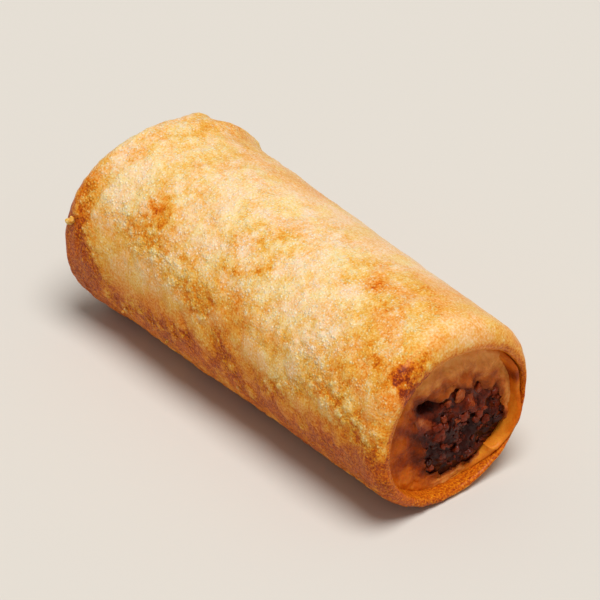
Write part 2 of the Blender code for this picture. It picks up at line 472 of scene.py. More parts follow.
def makeMeatFinish():
    # Chopped, browned meat with wet patches.
    material, shader, wires, here = newFinish("brownedMince", {
        "IOR": 1.42, "Specular IOR Level": 0.12, "Coat Roughness": 0.14, "Coat IOR": 1.4,
        "Subsurface Weight": 0.25, "Subsurface Radius": (1.0, 0.35, 0.2), "Subsurface Scale": 0.0012})
    tone = attribute(wires, "tone")
    crumb = here.cells(0.9)
    speck = here.clouds(0.45, 3.0, 0.65)
    patch = here.clouds(2.4, 3.0, 0.6)
    # Darker in the hollows between crumbs, partly painted shade.
    shade = tone + (speck - 0.5) * 0.5 + (patch - 0.5) * 0.3 - crumb * 0.1
    wires.plug(shader.inputs["Base Color"], shade.ramp(meatLook["stops"]))
    wires.plug(shader.inputs["Roughness"], meatLook["roughness"] + (speck - 0.5) * 0.4)
    wires.plug(shader.inputs["Coat Weight"], patch.between(0.35, 0.7) * meatLook["oil"])
    addRelief(wires, shader, (1.0 - crumb) * meatLook["crumbDeep"] + speck * meatLook["grainDeep"])
    return material


meatFinish = makeMeatFinish()
print("finishes made")

skin = {
    "columns": 346,
    "outerRows": 222,
    "shoulderRows": 15,
    "rollInRows": 10,
    "wallRows": 3,
    "hiddenRows": 5,
    "wallDeep": 1.0,            # the inner wall goes on this far under the fold, then slopes to the bore
    "seamLip": 0.35,
    "lumpHeight": 0.22,
    "lumpSize": 14.0,
    "puffHeight": 0.26,         # soft blisters
    "puffSize": 5.5,
    "bubbleHeight": 0.16,       # small ones
    "bubbleSize": 2.1,
    "weltHeight": 0.4,          # fat ones low on both sides
    "weltSize": 3.4,
    "beadHeight": 0.1,          # the smallest that the mesh holds
    "beadSize": 1.25,
    "grainHeight": (0.1, 0.05),             # unevenness between them, coarse and fine
    "crinkleHeight": 0.1,       # fine pleats round the far cuff
    "creaseAt": -36.2,          # where the far flap's edge lies on the skin
    "creaseDeep": 0.2,
    "valleyShadeAndGold": 0.13,         # how much darker the skin is between its bubbles and paler on them: partly browning, partly painted shade and highlight
    "seamCurl": 0.3,            # the sheet's free edge stands up by this much
    "sunk": 0.14,               # the whole skin lies this much deeper, to make room for its bubbles
    "baseLift": 0.02,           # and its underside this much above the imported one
    # The sheet's free edge is browner, and the line also serves as painted shade under its overhang.
    "seamToastAndShade": 0.24,
    "paleBrown": 0.19,          # the browning everywhere, 0 cream to 1 dark
    "cloudBrown": (0.14, 0.1, 0.09),        # mottling, coarse to fine
    "rimBrownAndShade": (0.05, 0.2),    # over the rims, and down inside them, where it is partly painted shade
    "rimSwells": [(-42.0, 18.0, 0.3), (14.0, 15.0, -0.6)],      # far rim: degrees, reach, height
}

# Broad browning, some of it painted shade low on the -Y side: strength, then where it sets in along the roll
# and in degrees round it. None is everywhere.
browningAndPaintedShade = [
    # The next two rows, low on the -Y side, are partly browning and partly painted shade.
    (0.14, None, (-46.0, -72.0)),
    (0.36, None, (-76.0, -106.0)),
    (0.1, None, (10.0, 50.0)),
    (0.16, None, (60.0, 120.0)),
    (0.05, (-33.0, -41.0), None),
    (0.14, (-33.0, -41.0), (-20.0, -60.0)),
    # This row, low on the far end's -Y side, is partly browning and partly painted shade.
    (0.3, (-31.0, -40.0), (-60.0, -80.0)),
    (0.07, (4.0, -12.0), (0.0, 25.0)),
    (-0.09, (8.0, 26.0), (-52.0, -68.0)),
    (0.09, (12.0, 34.0), None),
    (0.1, (34.0, 43.0), (-10.0, -60.0)),
]

# Toasted places: along the roll, degrees round it, reach along, reach round, strength.
toastedSpots = [
    (-22.0, -45.0, 4.8, 3.8, 0.36),
    (-17.5, -58.0, 2.6, 1.6, 0.14),
    (-12.0, -55.5, 2.2, 0.7, 0.2),
    (-2.0, -46.0, 3.0, 0.9, 0.26),
    (3.2, -38.0, 2.4, 0.9, 0.24),
    (6.2, -27.0, 1.0, 3.0, 0.14),
    (0.0, -25.0, 2.0, 2.2, 0.2),
    (24.3, -5.0, 1.6, 2.0, 0.28),
    (29.5, -15.0, 3.4, 2.8, 0.16),
    (37.5, -41.0, 2.6, 1.1, 0.36),
    (43.3, -41.5, 1.8, 2.7, 0.78),
    (43.9, -25.0, 1.3, 3.2, 0.24),
    (-35.0, -26.0, 1.6, 2.4, 0.15),
    (-39.0, -50.0, 1.8, 4.0, 0.2),
    (-41.0, -84.0, 3.4, 7.0, 0.12),
    (-3.0, -106.0, 5.0, 3.0, 0.14),
    (20.0, -112.0, 7.0, 3.5, 0.16),
    (10.0, 96.0, 6.0, 4.0, 0.18),
    (-20.0, 132.0, 5.0, 4.0, 0.26),
    (28.0, 152.0, 6.0, 4.0, 0.24),
    (-30.0, 84.0, 3.0, 3.0, 0.2),
    (36.0, 84.0, 3.0, 4.0, 0.2),
    (2.0, -160.0, 8.0, 5.0, 0.2),
]

# Golden rings left by burst blisters: along, degrees round, radius, strength.
blisterRings = [
    (0.4, -29.0, 5.2, 0.17),
    (-8.0, 70.0, 3.0, 0.12),
    (14.0, 128.0, 3.6, 0.14),
    (-26.0, 170.0, 3.2, 0.14),
]

# Rows of fat blisters: from and to (along, degrees), half width in millimetres.
blisterRows = [
    ((-41.0, -56.0), (-34.0, -98.0), 2.6),
    ((-29.0, -56.0), (-5.0, -74.0), 2.6),
    ((1.0, -82.0), (7.0, -110.0), 2.2),
    ((13.0, -94.0), (27.0, -72.0), 2.2),
    ((23.0, -60.0), (43.0, -84.0), 3.4),
    ((-30.0, -112.0), (-8.0, -98.0), 1.8),
    ((-34.0, 72.0), (-12.0, 92.0), 2.4),
    ((2.0, 96.0), (30.0, 84.0), 2.4),
    ((-24.0, 140.0), (10.0, 152.0), 3.0),
    ((16.0, -150.0), (38.0, -128.0), 2.6),
]


def endPath(end, angle, share):
    # Rings from the shoulder over the rim and down the inner wall.
    side = end["side"]
    rim = rimX(end, angle)
    crest = around(end["crest"], angle)
    shoulder = around(end["shoulder"], angle)
    rollIn = around(end["rollIn"], angle)
    outer = skinPlace(rim, angle, share)
    opening = oval(end["openingCentre"], *end["openingRadii"], angle)
    rings = []
    for step in range(1, skin["shoulderRows"] + 1):
        turn = 0.5 * pi * step / skin["shoulderRows"]
        part = (crest * (1.0 - cos(turn)))[:, None]
        rings.append((rim - side * shoulder * (1.0 - sin(turn)), mix(outer, opening, part)))
    for step in range(1, skin["rollInRows"] + 1):
        turn = 0.5 * pi * step / skin["rollInRows"]
        part = mix(crest, 1.0, sin(turn))[:, None]
        rings.append((rim - side * rollIn * (1.0 - cos(turn)), mix(outer, opening, part)))
    edge = rings[-1][0]
    deep = foldX(end, opening) - side * skin["wallDeep"]
    for step in range(1, skin["wallRows"] + 1):
        rings.append((mix(edge, deep, step / skin["wallRows"]), opening))
    return rings


def makeSkinGrid():
    # Closed rings: along the outside, over the near rim, back through the bore, over the far rim.
    last = 1.0 - skin["seamLip"] / (2.0 * pi * roll["nearRadius"])
    share = np.linspace(0.0, last, skin["columns"])
    still = np.zeros(skin["columns"])
    angles = {}
    starts = {}
    paths = {}
    for end in (farEnd, nearEnd):
        side = end["side"]
        angles[side] = seamAt(side * 0.5 * roll["length"]) - 2.0 * pi * share
        starts[side] = rimX(end, angles[side]) - side * around(end["shoulder"], angles[side])
        paths[side] = endPath(end, angles[side], share)
    rings = []                  # along, place in the section, angle, how far over the rim
    for row in range(skin["outerRows"] + 1):
        x = mix(starts[-1], starts[1], row / skin["outerRows"])
        angle = seamAt(x) - 2.0 * pi * share
        rings.append((x, skinPlace(x, angle, share), angle, still))
    for number, (x, spot) in enumerate(paths[1]):
        rings.append((x, spot, angles[1], still + (number + 1) / len(paths[1])))
    radius = roll["boreRadius"]
    bore = {side: oval(roll["boreCentre"], radius, radius, angles[side]) for side in (1, -1)}
    nearDeep, farDeep = paths[1][-1][0] - skin["wallDeep"], paths[-1][-1][0] + skin["wallDeep"]
    for row in range(skin["hiddenRows"] + 1):
        part = row / skin["hiddenRows"]
        rings.append((mix(nearDeep, farDeep, part), mix(bore[1], bore[-1], part), angles[1], still + 1.0))
    for number, (x, spot) in reversed(list(enumerate(paths[-1]))):
        rings.append((x, spot, angles[-1], still + (number + 1) / len(paths[-1])))
    grid = np.stack([np.concatenate([x[:, None], spot], -1) for x, spot, angle, over in rings])
    turn = np.degrees(np.stack([angle for x, spot, angle, over in rings]))
    inward = np.stack([over for x, spot, angle, over in rings])
    return grid, grid[..., 0], turnGap(turn, 0.0), inward


def roundSpot(along, turn, x, degrees, long, wide):
    # Distance from a place on the skin, 1 at its reach.
    across = np.radians(turnGap(turn, degrees)) * roll["nearRadius"]
    return np.sqrt(((along - x) / long) ** 2 + (across / wide) ** 2)


def seamShare(along, turn, reach):
    # 1 at the sheet's free edge, 0 at some degrees from it, with a sign: below 0 past the edge.
    gap = turnGap(turn, np.degrees(seamAt(along)))
    return np.exp(-(gap / reach) ** 2) * np.where(gap > 0.0, -1.0, 1.0)


def flapCrease(grid, along, turn):
    # 1 along the far flap's edge, from low on one side to just past the top.
    edge = skin["creaseAt"] + 2.6 * smooth(-40.0, 10.0, turn) - 2.2 * smooth(-46.0, -80.0, turn)
    away = along - edge - 2.2 * grain(grid, 7.0, 51.0)
    return np.exp(-(away / 0.75) ** 2) * smooth(-96.0, -80.0, turn) * (1.0 - smooth(8.0, 34.0, turn))


def rowShare(along, turn):
    # 1 in the middle of a row of fat blisters, 0 away from all of them.
    best = 0.0 * along
    unit = radians(1.0) * roll["nearRadius"]
    for (x0, turn0), (x1, turn1), half in blisterRows:
        stepX, stepTurn = x1 - x0, (turn1 - turn0) * unit
        offX, offTurn = along - x0, turnGap(turn, turn0) * unit
        share = np.clip((offX * stepX + offTurn * stepTurn) / (stepX ** 2 + stepTurn ** 2), 0.0, 1.0)
        away = np.hypot(offX - share * stepX, offTurn - share * stepTurn)
        best = np.maximum(best, np.exp(-(away / half) ** 2))
    return best


def reached(span, value):
    # 0 where a span starts, 1 from its end on, 1 all over without a span.
    return 1.0 if span is None else smooth(*span, value)


def toastAndShadeMap(grid, along, turn, inward, even):
    # How brown the skin is, with painted shade low on the -Y side: broad shares, then the seam and crease,
    # then single marks.
    coarse, middling, fine = skin["cloudBrown"]
    field = skin["paleBrown"] + coarse * grain(grid, 14.0, 2.0)
    field += (1.0 - 0.55 * even) * (middling * grain(grid, 5.0, 7.0) + fine * grain(grid, 2.2, 8.0))
    for strength, lengthwise, crosswise in browningAndPaintedShade:
        field += strength * reached(lengthwise, along) * reached(crosswise, turn)
    # Streaky browning low on the -Y side, partly painted shade.
    streaks = grain(grid * np.array([1.0, 0.4, 0.4]), 2.6, 17.0)
    field += 0.16 * streaks * smooth(-76.0, -106.0, turn)
    paler = smooth(30.0, 60.0, turn) + smooth(38.0, 43.0, along)
    field += 0.1 * smooth(22.0, 34.0, along) * smooth(-16.0, 4.0, turn) * (1.0 - np.minimum(paler, 1.0))
    # Browner over the rims and darker down inside them, partly painted shade.
    overRim, insideRim = skin["rimBrownAndShade"]
    field += overRim * smooth(0.1, 0.4, inward) + insideRim * smooth(0.47, 0.62, inward)
    field += 0.08 * rowShare(along, turn) + 0.09 * flapCrease(grid, along, turn)
    # Browner along the seam: partly a toasted edge, partly painted shade under the overhang.
    seam = np.abs(seamShare(along, turn, 2.6))
    field += skin["seamToastAndShade"] * seam * (0.9 + 1.4 * grain(grid, 3.0, 57.0))
    dots = 0.85 + 1.2 * grain(grid, 1.4, 23.0)
    for x, degrees, long, wide, strength in toastedSpots:
        field += strength * np.exp(-roundSpot(along, turn, x, degrees, long, wide) ** 2) * dots
    for x, degrees, radius, strength in blisterRings:
        away = roundSpot(along, turn, x, degrees, radius, radius) + 0.35 * grain(grid, 2.0, 25.0)
        field += strength * np.exp(-((away - 1.0) / 0.22) ** 2) * (0.6 + grain(grid, 3.0, 28.0))
    return field


def smoothPlaces(grid, along, turn):
    # 1 where the skin stayed even and satin, 0 where it blistered.
    wander = turn + 16.0 * grain(grid, 9.0, 21.0)
    band = smooth(4.0, 24.0, wander) * (1.0 - smooth(84.0, 110.0, wander)) * smooth(-40.0, -4.0, along)
    low = smooth(-62.0, -74.0, wander) * (1.0 - smooth(-96.0, -112.0, wander))
    other = smooth(0.06, 0.3, grain(grid, 8.0, 27.0)) * smooth(96.0, 116.0, np.abs(turn))
    return np.clip(band + 0.75 * low + 0.7 * other - 1.2 * rowShare(along, turn), 0.0, 1.0)


def roughenSkin(grid, along, turn, inward):
    # Lumps, blisters of four sizes, pleats, crease and seam, all along the surface's normal.
    normal = gridNormals(grid)
    even = smoothPlaces(grid, along, turn)
    nearTop = smooth(38.0, 41.0, along) * smooth(-32.0, -8.0, turn) * (1.0 - smooth(100.0, 130.0, turn))
    overRim = 1.0 - smooth(0.45, 0.8, inward)
    coarse = (1.0 - 0.86 * even) * mix(0.12, 1.0, overRim) * (1.0 - 0.85 * nearTop)
    rows = rowShare(along, turn) * overRim
    height = skin["lumpHeight"] * 2.0 * grain(grid, skin["lumpSize"], 3.0)
    puffs = bubbles(grid, skin["puffSize"], 13.0, 0.8) * smooth(-0.1, 0.15, grain(grid, 9.0, 31.0))
    height = height + skin["puffHeight"] * puffs * mix(0.3, 1.0, coarse)
    small = bubbles(grid, skin["bubbleSize"], 5.0, 0.85) * (coarse + rows)
    beads = bubbles(grid, skin["beadSize"], 6.0, 0.85) * coarse
    height = height + skin["bubbleHeight"] * small + skin["beadHeight"] * beads
    low = smooth(44.0, 62.0, np.abs(turn)) * (1.0 - smooth(104.0, 124.0, np.abs(turn)))
    low = low * smooth(-24.0, -4.0, along) * (1.0 - 0.55 * smooth(0.0, 20.0, turn)) * overRim
    welts = bubbles(grid * np.array([0.9, 1.0, 0.75]), skin["weltSize"], 19.0, 0.95) * low
    height = height + skin["weltHeight"] * welts
    rough, fine = skin["grainHeight"]
    height = height + rough * grain(grid, 2.4, 41.0) + fine * grain(grid, 1.1, 45.0)
    pleats = 2.0 * grain(grid * np.array([1.0, 0.25, 0.25]), 1.5, 43.0)
    height = height + skin["crinkleHeight"] * pleats * smooth(-33.0, -37.0, along) * overRim
    height = height - skin["creaseDeep"] * flapCrease(grid, along, turn)
    curl = seamShare(along, turn, 4.0) * (1.0 - smooth(0.0, 0.3, inward))
    height = height + skin["seamCurl"] * curl * (0.7 + 1.2 * grain(grid, 6.0, 59.0))
    for degrees, reach, swell in skin["rimSwells"]:
        swell = swell * np.exp(-((turn - degrees) / reach) ** 2)
        height = height + swell * smooth(-35.0, -41.0, along) * overRim
    broken = 0.7 + 1.2 * grain(grid, 1.8, 26.0)
    for x, degrees, radius, strength in blisterRings:
        away = roundSpot(along, turn, x, degrees, radius, radius)
        ring = np.exp(-((away - 0.9) / 0.4) ** 2) - 0.3 * np.exp(-(away / 0.6) ** 2)
        height = height + strength * broken * ring
    height = height * (1.0 - smooth(0.97, 1.0, inward)) - skin["sunk"]
    shaped = grid + normal * height[..., None]
    base = roll["flatDepth"] - roll["farRadius"] + skin["baseLift"]
    shaped[..., 2] = np.maximum(shaped[..., 2], base)
    return shaped, normal, coarse, even, small + beads + 0.9 * (welts - 0.4 * low)


def skinColours(grid, along, turn, inward, coarse, even, crowns):
    # Browning, with painted shade low on the sides; deeper between the bubbles than on them, partly real and
    # partly painted shade and highlight; and oil, which drained off the low sides.
    brown = toastAndShadeMap(grid, along, turn, inward, even)
    # Painted shade in the hollows between bubbles and painted highlight on their crowns, over real browning.
    brown = brown + skin["valleyShadeAndGold"] * (0.7 + 1.2 * np.clip(brown, 0.0, 0.7)) * (0.28 * coarse - crowns)
    low = smooth(40.0, 85.0, np.abs(turn))
    # Both low sides are kept at least this brown, partly as painted shade.
    brown = np.clip(brown, 0.08 + 0.18 * low, 0.88 - 0.12 * low)
    oily = np.clip(0.4 + 0.4 * even + 0.5 * grain(grid, 4.0, 55.0), 0.0, 1.0)
    return {"brown": brown, "blister": coarse, "oily": oily * (1.0 - 0.8 * smooth(55.0, 95.0, np.abs(turn)))}


skinGrid, skinAlong, skinTurn, skinInward = makeSkinGrid()
skinShape, skinNormal, coarse, even, crowns = roughenSkin(skinGrid, skinAlong, skinTurn, skinInward)
skinColour = skinColours(skinGrid, skinAlong, skinTurn, skinInward, coarse, even, crowns)
pastrySkin = place(meshFromGrid("pastrySkin", skinShape, True, skinColour), "wrapper", pastryFinish)
print("outer turn:", len(pastrySkin.data.polygons), "quads")

crisp = {
    "count": 7000,
    "smallest": 0.13,
    "largest": 0.34,
    "fattest": 0.55,            # in the rows
    "rise": 0.5,                # height over radius
    "sunk": 0.29,
    "footShadeAndGold": 0.16,           # how much darker a blister is at its foot and paler at its crown: partly browning, partly painted shade and highlight
    "toneSpread": 0.14,
    "sides": 6,
    "foot": (1.0, -0.2),        # radius and height of a blister's rings
    "shoulder": (0.74, 0.64),
}


def ringPoints(columns, radius, height):
    turns = np.linspace(0.0, 2.0 * pi, columns, endpoint=False)
    return np.stack([radius * np.cos(turns), radius * np.sin(turns), 0.0 * turns + height], -1)


def bandFaces(columns, low, high):
    # Triangles between a ring whose points start at low and one whose points start at high.
    sides = [(side, (side + 1) % columns) for side in range(columns)]
    return ([(low + side, low + other, high + other) for side, other in sides]
            + [(low + side, high + other, high + side) for side, other in sides])


def fanFaces(columns, ring, tip):
    return [(ring + side, ring + (side + 1) % columns, tip) for side in range(columns)]


def domeShape():
    # Half a bubble: a ring at its foot, one at its shoulder, a crown and a flat base.
    sides = crisp["sides"]
    points = [ringPoints(sides, *crisp["foot"]), ringPoints(sides, *crisp["shoulder"]), [[0.0, 0.0, 1.0]]]
    faces = bandFaces(sides, 0, sides) + fanFaces(sides, sides, 2 * sides)
    faces += [(sides - 1, corner, corner - 1) for corner in range(1, sides - 1)]
    return np.concatenate(points), np.array(faces)


def makeCrispBlisters():
    # Tiny hard bubbles that stand out of the skin, thick where it blistered.
    luck = np.random.default_rng(11)
    shown = slice(skin["outerRows"] + skin["shoulderRows"])
    cluster = smooth(-0.08, 0.22, grain(skinGrid[shown], 3.2, 91.0))
    rows = rowShare(skinAlong, skinTurn)[shown] * (skinInward[shown] < 0.3)
    weight = (coarse[shown] * (0.1 + 0.9 * cluster) + 1.6 * rows).ravel()
    weight = weight * (skinGrid[shown][..., 2].ravel() > 1.6 - roll["nearRadius"])
    picks = luck.choice(weight.size, crisp["count"], replace=False, p=weight / weight.sum())
    centre = skinShape[shown].reshape(-1, 3)[picks]
    up = skinNormal[shown].reshape(-1, 3)[picks]
    largest = mix(crisp["largest"], crisp["fattest"], rows.ravel()[picks])
    width = crisp["smallest"] + (largest - crisp["smallest"]) * luck.random(len(picks)) ** 1.8
    first = np.cross(up, np.array([1.0, 0.0, 0.0]))
    first /= np.maximum(np.linalg.norm(first, axis=-1, keepdims=True), 1e-6)
    second = np.cross(up, first)
    shape, faces = domeShape()
    squash = mix(0.75, 1.25, luck.random((len(picks), 2)))
    wobble = 1.0 + 0.16 * (luck.random((len(picks), len(shape))) - 0.5)
    local = shape[None] * wobble[..., None]
    points = (centre[:, None] + first[:, None] * local[..., :1] * (width * squash[:, 0])[:, None, None]
              + second[:, None] * local[..., 1:2] * (width * squash[:, 1])[:, None, None]
              + up[:, None] * (local[..., 2:] * crisp["rise"] - crisp["sunk"]) * width[:, None, None])
    tone = skinColour["brown"][shown].ravel()[picks] + crisp["toneSpread"] * (luck.random(len(picks)) - 0.5)
    # Painted shade at each blister's foot and painted highlight at its crown, over its own browning.
    tones = (tone[:, None] + crisp["footShadeAndGold"] * (0.7 - np.maximum(shape[:, 2], 0.0))).ravel()
    oil = np.repeat(skinColour["oily"][shown].ravel()[picks], len(shape))
    piece = meshFromCopies("crispBlisters", points, faces,
                           {"brown": tones, "blister": 0.0 * tones + 0.15, "oily": oil})
    return place(piece, "wrapper", pastryFinish)


crispBlisters = makeCrispBlisters()
print("crisp blisters:", len(crispBlisters.data.polygons), "faces")

fold = {
    "columns": 300,
    "rows": 46,
    "underRows": 5,
    "tuck": 0.09,               # share of the way that the sheet goes on behind the rim
    "thickness": 0.55,
    "edgeSink": 0.5,            # the torn edge dips by this much
    "ragged": 1.3,
    "sag": 0.5,
    "swell": 0.7,               # how much the filling shows through as lumps
    "tan": 0.22,
    "plyColumns": 260,
    "plyLift": 2.1,             # the inner turn's height over the fold
    "plySunk": 0.6,             # and how far it lies under the fold elsewhere
    "redTurn": 66.0,            # a redder place on the inner turn
}

# The inner turn's section: how far in from the opening, and its share of the lift.
plySection = [(-0.1, -1.5), (-0.08, -0.2), (-0.05, 0.6), (0.12, 0.9), (0.5, 1.0), (1.0, 0.97),
              (1.5, 0.82), (1.75, 0.5), (1.85, -0.2), (1.9, -1.5)]


def windowEdge(end, angle):
    # The torn edge of the inner sheet, where the mince comes out.
    circle = np.stack([np.sin(angle), np.cos(angle), 0.0 * angle + end["seed"]], -1)
    ragged = fold["ragged"] * (1.1 * grain(circle, 0.55, 3.0) + 0.7 * grain(circle, 0.2, 8.0)
                               + 0.35 * grain(circle, 0.08, 12.0))
    for degrees, reach, width in end["windowLobes"]:
        ragged = ragged + reach * np.exp(-(turnGap(np.degrees(angle), degrees) / width) ** 2)
    across, up = end["windowRadii"]
    return oval(end["windowCentre"], across + ragged, up + ragged, angle)


def minceLumps(spot, seed):
    # How the chopped filling swells and dips over one face.
    flat = np.concatenate([0.0 * spot[..., :1], spot], -1)
    lumps = 0.8 * bubbles(flat, 3.4, 81.0 + seed, 1.0) + 0.45 * bubbles(flat, 1.7, 83.0, 0.9)
    return lumps + 0.2 * bubbles(flat, 0.9, 85.0, 0.85) + 1.0 * grain(flat, 3.6, 87.0) - 0.45


def makeFold(end, name):
    # The inner sheet over one end, from the opening's edge in to its torn window.
    side = end["side"]
    angle = np.linspace(0.0, 2.0 * pi, fold["columns"], endpoint=False)
    opening = oval(end["openingCentre"], *end["openingRadii"], angle)
    window = windowEdge(end, angle)
    rings = []
    parts = []
    for row in range(fold["rows"] + 1):
        part = mix(-fold["tuck"], 1.0, (row / fold["rows"]) ** 0.9)
        spot = mix(opening, window, part)
        rings.append(np.concatenate([foldX(end, spot)[:, None], spot], -1))
        parts.append(part)
    top = np.stack(rings)
    part = np.array(parts)[:, None] + np.zeros(top.shape[:2])
    ripple = 1.3 * grain(top, 4.6, 61.0) + 0.6 * grain(top, 1.7, 63.0) + 0.25 * grain(top, 0.8, 64.0)
    swell = fold["swell"] * minceLumps(top[..., 1:], end["seed"]) * smooth(0.25, 0.9, part)
    top[..., 0] += side * (fold["sag"] * ripple + swell - fold["edgeSink"] * smooth(0.55, 1.0, part))
    thickness = fold["thickness"] * (1.0 - 0.85 * smooth(0.75, 1.0, part))
    back = slice(None, None, -(fold["rows"] // fold["underRows"]))       # the underside needs fewer rings
    under = top[back].copy()
    under[..., 0] -= side * thickness[back]
    whole = np.concatenate([top, under])
    shade = np.concatenate([part, part[back]])
    brown = fold["tan"] + 0.26 * grain(whole, 5.0, 71.0)
    brown += 0.3 * grain(whole, 2.0, 73.0) * smooth(0.2, 0.7, shade)
    brown += 0.2 * smooth(0.1, 0.6, shade) + 0.4 * smooth(0.5, 1.0, shade)
    # Darker, oranger sheet low on the -Y side and where it tucks under the rim: painted shade.
    amber = smooth(8.0, 2.0, whole[..., 2]) * smooth(1.0, -5.0, side * whole[..., 1])
    amber = np.maximum(amber, smooth(0.22, 0.0, shade))
    piece = meshFromGrid(name, whole, True, {"brown": brown + 0.12 * amber, "amber": amber})
    return place(piece, "wrapper", foldFinish)


nearFold = makeFold(nearEnd, "nearFold")
farFold = makeFold(farEnd, "farFold")


def makePly(end, name):
    # The next turn of pastry, whose rim stands inside the opening on one side.
    side = end["side"]
    angle = np.linspace(0.0, 2.0 * pi, fold["plyColumns"], endpoint=False)
    opening = oval(end["openingCentre"], *end["openingRadii"], angle)
    window = oval(end["windowCentre"], *end["windowRadii"], angle)
    start, peak, stop = end["plyTurns"]
    along = turnGap(np.degrees(angle), peak)
    before, after = start - peak, stop - peak
    shown = smooth(before, 0.45 * before, along) * smooth(after, 0.45 * after, along)
    circle = np.stack([np.sin(angle), np.cos(angle), 0.0 * angle + end["seed"]], -1)
    uneven = 1.0 + 0.35 * grain(circle, 0.4, 5.0)
    lift = shown * (fold["plyLift"] + fold["plySunk"]) * uneven - fold["plySunk"]
    wander = 0.3 * grain(circle, 0.5, 6.0)
    inward = window - opening
    inward /= np.linalg.norm(inward, axis=-1, keepdims=True)
    rings = []
    for inset, height in plySection:
        spot = opening + inward * (inset + wander)[:, None]
        rise = lift * max(height, 0.0) + min(height, 0.0)
        rings.append(np.concatenate([(foldX(end, spot) + side * rise)[:, None], spot], -1))
    grid = np.stack(rings)
    grid[..., 0] += side * 0.25 * grain(grid, 1.6, 67.0)
    red = np.exp(-(turnGap(np.degrees(angle), fold["redTurn"]) / 12.0) ** 2)
    brown = fold["tan"] + 0.35 * grain(grid, 2.5, 68.0) + 0.34 * red
    piece = meshFromGrid(name, grid, True, {"brown": brown, "amber": 1.0 + 0.0 * brown})
    return place(piece, "wrapper", foldFinish)


nearPly = makePly(nearEnd, "nearPly")
farPly = makePly(farEnd, "farPly")
print("folds and inner turns made")

mince = {
    "columns": 280,
    "faceRings": 56,
    "sideRows": 10,
    "gap": 0.3,                 # to the fold's underside
    "rise": 1.0,                # how far the middle swells out of the window
    "lumpHeight": 1.1,
    "bits": 110,                # on each face
    "smallest": 0.22,
    "largest": 0.84,
    # Hollows in both faces: across, up, width, depth.
    "holes": [(-2.2, 2.4, 2.2, 3.6), (11.6, -3.6, 1.2, 1.2), (5.4, -6.6, 1.6, 1.8), (1.2, -2.0, 1.0, 1.0)],
}


def makeMince():
    # Two lumpy faces, joined by a plain core that the wrapper hides.
    angle = np.linspace(0.0, 2.0 * pi, mince["columns"], endpoint=False)
    stacks = []
    for end in (farEnd, nearEnd):
        rings = []
        for ring in range(mince["faceRings"]):
            radius = roll["boreRadius"] * (1.0 - ring / mince["faceRings"])
            spot = oval(roll["boreCentre"], radius, radius, angle)
            rings.append(np.concatenate([0.0 * angle[:, None], spot], -1))
        face = np.stack(rings)
        spot = face[..., 1:]
        across, up = end["windowRadii"]
        away = (spot - np.array(end["windowCentre"])) / np.array([across, up])
        shown = 1.0 - smooth(0.62, 1.1, np.linalg.norm(away, axis=-1))
        lumps = minceLumps(spot, end["seed"])
        height = mince["rise"] * shown + mince["lumpHeight"] * lumps * mix(0.25, 1.0, shown)
        dips = 0.0 * height
        for y, z, width, deep in mince["holes"]:
            dips = dips + deep * np.exp(-((spot[..., 0] - y) ** 2 + (spot[..., 1] - z) ** 2) / width ** 2)
        face[..., 0] = foldX(end, spot) + end["side"] * (height - dips - fold["thickness"] - mince["gap"])
        # Darker in the holes: painted shade.
        stacks.append((face, lumps - 0.3 * dips))
    (farFace, farLumps), (nearFace, nearLumps) = stacks
    shares = np.linspace(0.0, 1.0, mince["sideRows"] + 1)[1:-1]
    sides = np.stack([mix(farFace[0], nearFace[0], share) for share in shares])
    whole = np.concatenate([farFace[::-1], sides, nearFace])
    lumps = np.concatenate([farLumps[::-1], np.zeros(sides.shape[:2]), nearLumps])
    # Paler on the lumps and darker in the dips, partly painted shade; darker towards the bottom, painted
    # shade.
    tone = 0.3 + 0.36 * lumps + 0.3 * grain(whole, 2.2, 89.0) - 0.3 * smooth(0.0, -6.0, whole[..., 2])
    tone = np.clip(tone, 0.0, 1.0)
    piece = meshFromGrid("minceFilling", whole, False, {"tone": tone})
    return place(piece, "filling", meatFinish, closeEnds=True)


minceFilling = makeMince()
print("filling made")

# Bits listed for the near face: across, up, length, width, tone.
placedBits = [(4.2, 1.4, 1.3, 1.1, 0.66), (8.6, 0.6, 1.0, 0.7, 0.5), (2.6, -3.6, 1.2, 0.9, 0.5),
              (12.6, -1.6, 0.9, 0.7, 0.4), (7.6, -3.4, 1.1, 0.8, 0.4), (-1.6, -2.6, 0.9, 0.6, 0.35)]


def lumpShape(columns, rows):
    # A closed ball of rings with a point at each pole.
    tilts = np.linspace(0.0, pi, rows + 2)[1:-1]
    rings = [ringPoints(columns, np.sin(tilt), np.cos(tilt)) for tilt in tilts]
    points = [[[0.0, 0.0, 1.0]]] + rings + [[[0.0, 0.0, -1.0]]]
    last = 1 + rows * columns
    faces = fanFaces(columns, 1, 0) + fanFaces(columns, last - columns, last)
    for row in range(rows - 1):
        faces += bandFaces(columns, 1 + row * columns, 1 + (row + 1) * columns)
    return np.concatenate(points), np.array(faces)


# Crumbs of batter stuck to the skin: along, degrees round, how many lumps, size.
crumbPlaces = [
    (-43.4, -73.0, 4, 0.9),
    (-27.0, -113.0, 4, 0.5),
    (-15.0, -114.0, 3, 0.4),
    (5.0, -113.0, 3, 0.4),
    (-30.0, 98.0, 3, 0.4),
    (33.0, 103.0, 3, 0.4),
]


